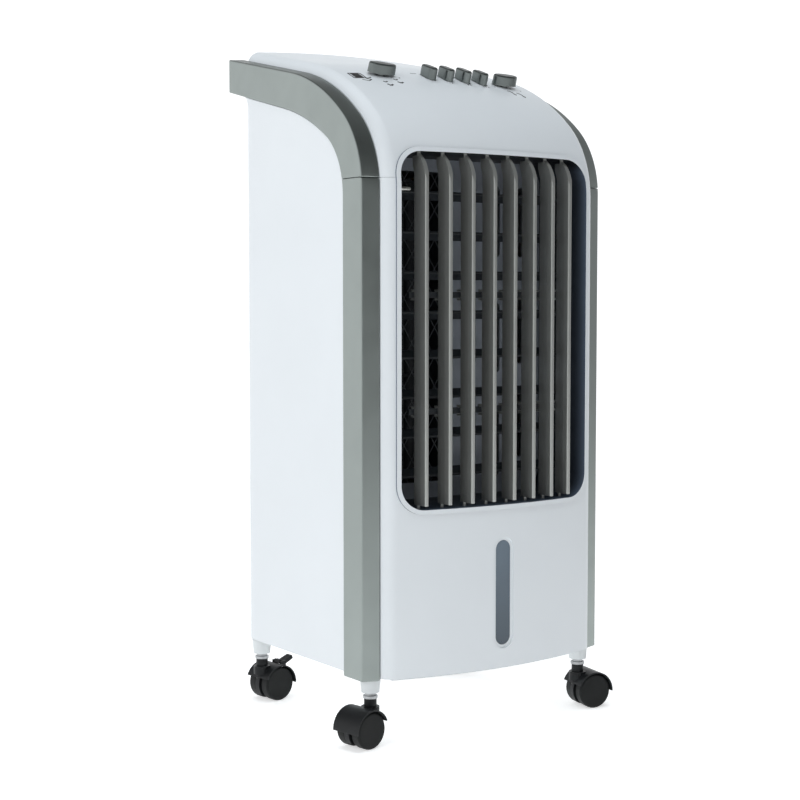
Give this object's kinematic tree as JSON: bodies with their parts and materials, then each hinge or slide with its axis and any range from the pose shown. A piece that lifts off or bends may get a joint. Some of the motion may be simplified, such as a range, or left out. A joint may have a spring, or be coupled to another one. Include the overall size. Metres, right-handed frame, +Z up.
{
  "type": "evaporative cooler",
  "caption": "Tower evaporative air cooler with swinging upright louvres, arched top with keys and knobs, a slide-out water tank and swivel castors.",
  "frame": {"origin": "on the floor under the middle of the object's box", "axes": "+Z up, -Y out of the louvred front, +X to the right seen from the front"},
  "size_m": [0.2778, 0.2419, 0.581],
  "materials": {
    "white_plastic": "satin moulded white plastic with a fine grain",
    "base_plastic": "plain moulded white plastic",
    "tank_plastic": "milky moulded plastic",
    "grey_trim": "satin grey-green moulded plastic",
    "window_glaze": "smoky blue see-through plastic",
    "louvre_silver": "silver-painted plastic",
    "black_plastic": "black moulded plastic",
    "mesh_black": "black moulded mesh",
    "fan_plastic": "dark grey glass-filled plastic",
    "control_grey": "satin mid-grey plastic",
    "switch_plastic": "black switch body",
    "inner_plastic": "light grey moulded plastic",
    "pad_cellulose": "fluted cellulose honeycomb",
    "filter_nylon": "moulded nylon net",
    "pump_plastic": "black sealed pump body",
    "hose_rubber": "clear silicone hose",
    "gland_rubber": "black rubber",
    "zinc_steel": "zinc plated",
    "motor_enamel": "grey enamelled steel can",
    "bearing_bronze": "sintered bronze",
    "stem_chrome": "bright plated steel",
    "castor_black": "black nylon",
    "wheel_black": "black nylon tread"
  },
  "bodies": {
    "root": {"front_shell": "white_plastic", "top_cover": "white_plastic", "side_panel_left": "white_plastic", "side_panel_right": "white_plastic", "rear_panel": "white_plastic", "louvre_frame": "white_plastic", "base_plate": "base_plastic", "water_distributor": "tank_plastic", "trim_left_lower": "grey_trim", "trim_left_upper": "grey_trim", "trim_right_lower": "grey_trim", "trim_right_upper": "grey_trim", "level_window": "window_glaze", "guard_grille": "black_plastic", "outlet_casing": "black_plastic", "fan_scroll": "black_plastic", "swing_motor": "black_plastic", "outlet_mesh": "mesh_black", "switch_bank": "switch_plastic", "rotary_switches": "switch_plastic", "mid_deck": "inner_plastic", "pad_frame": "inner_plastic", "evaporative_pad": "pad_cellulose", "water_pump": "pump_plastic", "pump_hose": "hose_rubber", "cord_gland": "gland_rubber", "shell_screws": "zinc_steel", "fan_motor": "motor_enamel", "lower_bearing": "bearing_bronze", "castor_stems": "stem_chrome"},
    "louvre_1": {"louvre_1": "louvre_silver"},
    "louvre_2": {"louvre_2": "louvre_silver"},
    "louvre_3": {"louvre_3": "louvre_silver"},
    "louvre_4": {"louvre_4": "louvre_silver"},
    "louvre_5": {"louvre_5": "louvre_silver"},
    "louvre_6": {"louvre_6": "louvre_silver"},
    "louvre_7": {"louvre_7": "louvre_silver"},
    "louvre_8": {"louvre_8": "louvre_silver"},
    "link_bars": {"link_bars": "black_plastic"},
    "fan": {"fan_impeller": "fan_plastic", "fan_shaft": "zinc_steel"},
    "key_1": {"key_1": "control_grey"},
    "key_2": {"key_2": "control_grey"},
    "key_3": {"key_3": "control_grey"},
    "key_4": {"key_4": "control_grey"},
    "knob_left": {"knob_left": "control_grey"},
    "knob_right": {"knob_right": "control_grey"},
    "water_tank": {"water_tank": "tank_plastic"},
    "filter": {"filter_cassette": "base_plastic", "dust_filter": "filter_nylon"},
    "castor_front_left": {"castor_hood_front_left": "castor_black"},
    "wheels_front_left": {"castor_wheels_front_left": "wheel_black"},
    "castor_front_right": {"castor_hood_front_right": "castor_black"},
    "wheels_front_right": {"castor_wheels_front_right": "wheel_black"},
    "castor_rear_left": {"castor_hood_rear_left": "castor_black"},
    "wheels_rear_left": {"castor_wheels_rear_left": "wheel_black"},
    "brake_rear_left": {"brake_lever_rear_left": "castor_black"},
    "castor_rear_right": {"castor_hood_rear_right": "castor_black"},
    "wheels_rear_right": {"castor_wheels_rear_right": "wheel_black"},
    "brake_rear_right": {"brake_lever_rear_right": "castor_black"}
  },
  "joints": [
    {"name": "louvre_1_swing", "type": "hinge", "parent": "root", "child": "louvre_1", "pos_m": [-0.0735, -0.10169, 0.333], "axis": [0, 0, 1], "range_deg": [-35, 35]},
    {"name": "louvre_2_swing", "type": "hinge", "parent": "root", "child": "louvre_2", "pos_m": [-0.0525, -0.10504, 0.333], "axis": [0, 0, 1], "range_deg": [-35, 35]},
    {"name": "louvre_3_swing", "type": "hinge", "parent": "root", "child": "louvre_3", "pos_m": [-0.0315, -0.10726, 0.333], "axis": [0, 0, 1], "range_deg": [-35, 35]},
    {"name": "louvre_4_swing", "type": "hinge", "parent": "root", "child": "louvre_4", "pos_m": [-0.0105, -0.10836, 0.333], "axis": [0, 0, 1], "range_deg": [-35, 35]},
    {"name": "louvre_5_swing", "type": "hinge", "parent": "root", "child": "louvre_5", "pos_m": [0.0105, -0.10836, 0.333], "axis": [0, 0, 1], "range_deg": [-35, 35]},
    {"name": "louvre_6_swing", "type": "hinge", "parent": "root", "child": "louvre_6", "pos_m": [0.0315, -0.10726, 0.333], "axis": [0, 0, 1], "range_deg": [-35, 35]},
    {"name": "louvre_7_swing", "type": "hinge", "parent": "root", "child": "louvre_7", "pos_m": [0.0525, -0.10504, 0.333], "axis": [0, 0, 1], "range_deg": [-35, 35]},
    {"name": "louvre_8_swing", "type": "hinge", "parent": "root", "child": "louvre_8", "pos_m": [0.0735, -0.10169, 0.333], "axis": [0, 0, 1], "range_deg": [-35, 35]},
    {"name": "link_swing", "type": "hinge", "parent": "louvre_1", "child": "link_bars", "pos_m": [-0.0735, -0.09319, 0.315], "axis": [0, 0, 1], "range_deg": [-35, 35]},
    {"name": "fan_spin", "type": "hinge", "parent": "root", "child": "fan", "pos_m": [-0.045, 0.004, 0.335], "axis": [0, 0, 1], "continuous": true},
    {"name": "key_1_press", "type": "slide", "parent": "root", "child": "key_1", "axis": [0, 0.3256, -0.9455], "range_m": [0, 0.004], "stiffness_N_per_m": 250, "springref_m": -0.001},
    {"name": "key_2_press", "type": "slide", "parent": "root", "child": "key_2", "axis": [0, 0.3256, -0.9455], "range_m": [0, 0.004], "stiffness_N_per_m": 250, "springref_m": -0.001},
    {"name": "key_3_press", "type": "slide", "parent": "root", "child": "key_3", "axis": [0, 0.3256, -0.9455], "range_m": [0, 0.004], "stiffness_N_per_m": 250, "springref_m": -0.001},
    {"name": "key_4_press", "type": "slide", "parent": "root", "child": "key_4", "axis": [0, 0.3256, -0.9455], "range_m": [0, 0.004], "stiffness_N_per_m": 250, "springref_m": -0.001},
    {"name": "knob_left_turn", "type": "hinge", "parent": "root", "child": "knob_left", "pos_m": [-0.061, -0.029, 0.54469], "axis": [0, -0.3256, 0.9455], "range_deg": [-60, 60]},
    {"name": "knob_right_turn", "type": "hinge", "parent": "root", "child": "knob_right", "pos_m": [0.068, -0.029, 0.54426], "axis": [0, -0.3256, 0.9455], "range_deg": [-60, 60]},
    {"name": "tank_slide", "type": "slide", "parent": "root", "child": "water_tank", "axis": [0, 1, 0], "range_m": [0, 0.13]},
    {"name": "filter_slide", "type": "slide", "parent": "root", "child": "filter", "axis": [0, 1, 0], "range_m": [0, 0.06]},
    {"name": "castor_front_left_swivel", "type": "hinge", "parent": "root", "child": "castor_front_left", "pos_m": [-0.1092, -0.0853, 0.034], "axis": [0, 0, 1], "continuous": true},
    {"name": "wheels_front_left_roll", "type": "hinge", "parent": "castor_front_left", "child": "wheels_front_left", "pos_m": [-0.11952, -0.08721, 0.015], "axis": [0.1822, -0.9833, 0], "continuous": true},
    {"name": "castor_front_right_swivel", "type": "hinge", "parent": "root", "child": "castor_front_right", "pos_m": [0.1092, -0.0853, 0.034], "axis": [0, 0, 1], "continuous": true},
    {"name": "wheels_front_right_roll", "type": "hinge", "parent": "castor_front_right", "child": "wheels_front_right", "pos_m": [0.11952, -0.08721, 0.015], "axis": [0.1822, 0.9833, 0], "continuous": true},
    {"name": "castor_rear_left_swivel", "type": "hinge", "parent": "root", "child": "castor_rear_left", "pos_m": [-0.1092, 0.0909, 0.034], "axis": [0, 0, 1], "continuous": true},
    {"name": "wheels_rear_left_roll", "type": "hinge", "parent": "castor_rear_left", "child": "wheels_rear_left", "pos_m": [-0.09882, 0.09245, 0.015], "axis": [-0.1478, 0.989, 0], "continuous": true},
    {"name": "brake_rear_left_press", "type": "hinge", "parent": "castor_rear_left", "child": "brake_rear_left", "pos_m": [-0.08991, 0.09378, 0.0314], "axis": [-0.1478, 0.989, 0], "range_deg": [0, 12]},
    {"name": "castor_rear_right_swivel", "type": "hinge", "parent": "root", "child": "castor_rear_right", "pos_m": [0.1092, 0.0909, 0.034], "axis": [0, 0, 1], "continuous": true},
    {"name": "wheels_rear_right_roll", "type": "hinge", "parent": "castor_rear_right", "child": "wheels_rear_right", "pos_m": [0.0988, 0.09236, 0.015], "axis": [-0.1392, -0.9903, 0], "continuous": true},
    {"name": "brake_rear_right_press", "type": "hinge", "parent": "castor_rear_right", "child": "brake_rear_right", "pos_m": [0.08989, 0.09361, 0.0314], "axis": [-0.1392, -0.9903, 0], "range_deg": [0, 12]}
  ],
  "couplings": [
    {"joint": "louvre_2_swing", "follows": "louvre_1_swing", "ratio": 1},
    {"joint": "louvre_3_swing", "follows": "louvre_1_swing", "ratio": 1},
    {"joint": "louvre_4_swing", "follows": "louvre_1_swing", "ratio": 1},
    {"joint": "louvre_5_swing", "follows": "louvre_1_swing", "ratio": 1},
    {"joint": "louvre_6_swing", "follows": "louvre_1_swing", "ratio": 1},
    {"joint": "louvre_7_swing", "follows": "louvre_1_swing", "ratio": 1},
    {"joint": "louvre_8_swing", "follows": "louvre_1_swing", "ratio": 1},
    {"joint": "link_swing", "follows": "louvre_1_swing", "ratio": -1}
  ]
}
